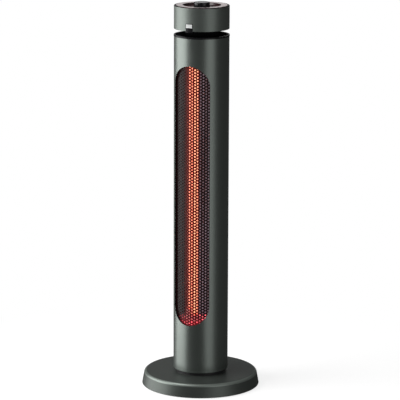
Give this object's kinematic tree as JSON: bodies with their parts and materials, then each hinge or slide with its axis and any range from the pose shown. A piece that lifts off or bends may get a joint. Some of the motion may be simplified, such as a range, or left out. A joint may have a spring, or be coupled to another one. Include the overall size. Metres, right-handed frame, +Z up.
{
  "type": "tower heater",
  "caption": "Slim round radiant tower heater on a wide round base, with a perforated guard over glowing tubes, a turning column and a control knob on top.",
  "frame": {"origin": "centre of the base's footprint on the floor", "axes": "+Z up along the column, -Y to the front with the window, +X to the object's left side as a viewer in front sees its right"},
  "size_m": [0.2496, 0.2497, 0.821],
  "materials": {
    "casing_paint": "satin metallic anthracite",
    "base_paint": "satin metallic anthracite on plastic",
    "steel": "plain",
    "iron": "raw",
    "rubber": "matte",
    "black_plastic": "matte black",
    "gloss_black": "polished black",
    "white_pom": "natural",
    "guard_black": "black heat-resistant coat",
    "polished": "polished reflector sheet",
    "zinc": "zinc coated",
    "quartz": "clear quartz",
    "glow": "glowing carbon",
    "ceramic": "unglazed",
    "rose_metal": "rose metal ring",
    "board_green": "circuit board",
    "window_pale": "pale translucent window"
  },
  "bodies": {
    "base": {"base_cover": "base_paint", "base_plate": "steel", "ballast_weight": "iron", "rubber_feet": "rubber", "base_screws": "zinc", "cord_grommet": "rubber", "bearing_ring": "black_plastic", "oscillation_motor": "zinc", "motor_screws": "zinc", "tip_switch_housing": "black_plastic", "tip_microswitch": "black_plastic", "tip_spring": "steel"},
    "tip_plunger": {"tip_plunger": "white_pom"},
    "pinion": {"motor_shaft": "steel", "drive_pinion": "white_pom"},
    "column": {"turntable": "black_plastic", "turntable_gear": "white_pom", "foot_rim": "casing_paint", "column_casing": "casing_paint", "casing_screws": "zinc", "window_frame": "black_plastic", "guard_mesh": "guard_black", "rear_spine": "zinc", "reflector": "polished", "lower_tube_bracket": "zinc", "upper_tube_bracket": "zinc", "chamber_floor": "polished", "chamber_ceiling": "polished", "quartz_tube_left": "quartz", "quartz_tube_right": "quartz", "carbon_filament_left": "glow", "carbon_filament_right": "glow", "lower_tube_caps": "ceramic", "upper_tube_caps": "ceramic", "thermal_cutout": "black_plastic", "column_top_cap": "gloss_black", "neck": "gloss_black", "head_base": "black_plastic", "head_shell": "casing_paint", "control_dish": "black_plastic", "trim_ring": "rose_metal", "rotary_switch": "black_plastic", "switch_nut": "zinc", "control_board": "board_green", "board_posts": "white_pom", "receiver_holder": "gloss_black", "receiver_window": "window_pale"},
    "knob": {"knob_spindle": "steel", "control_knob": "gloss_black"}
  },
  "joints": [
    {"name": "column_oscillation", "type": "hinge", "parent": "base", "child": "column", "pos_m": [0, 0, 0.033], "axis": [0, 0, 1], "range_deg": [-35, 35]},
    {"name": "pinion_spin", "type": "hinge", "parent": "base", "child": "pinion", "pos_m": [0.036, 0, 0.024], "axis": [0, 0, 1], "range_deg": [-125, 125]},
    {"name": "knob_turn", "type": "hinge", "parent": "column", "child": "knob", "pos_m": [0, 0, 0.815], "axis": [0, 0, 1], "range_deg": [-270, 0]},
    {"name": "tip_switch_travel", "type": "slide", "parent": "base", "child": "tip_plunger", "axis": [0, 0, -1], "range_m": [0, 0.004], "stiffness_N_per_m": 100, "springref_m": 0.006, "deforming": ["tip_spring"]}
  ],
  "couplings": [
    {"joint": "pinion_spin", "follows": "column_oscillation", "ratio": -3.5}
  ]
}
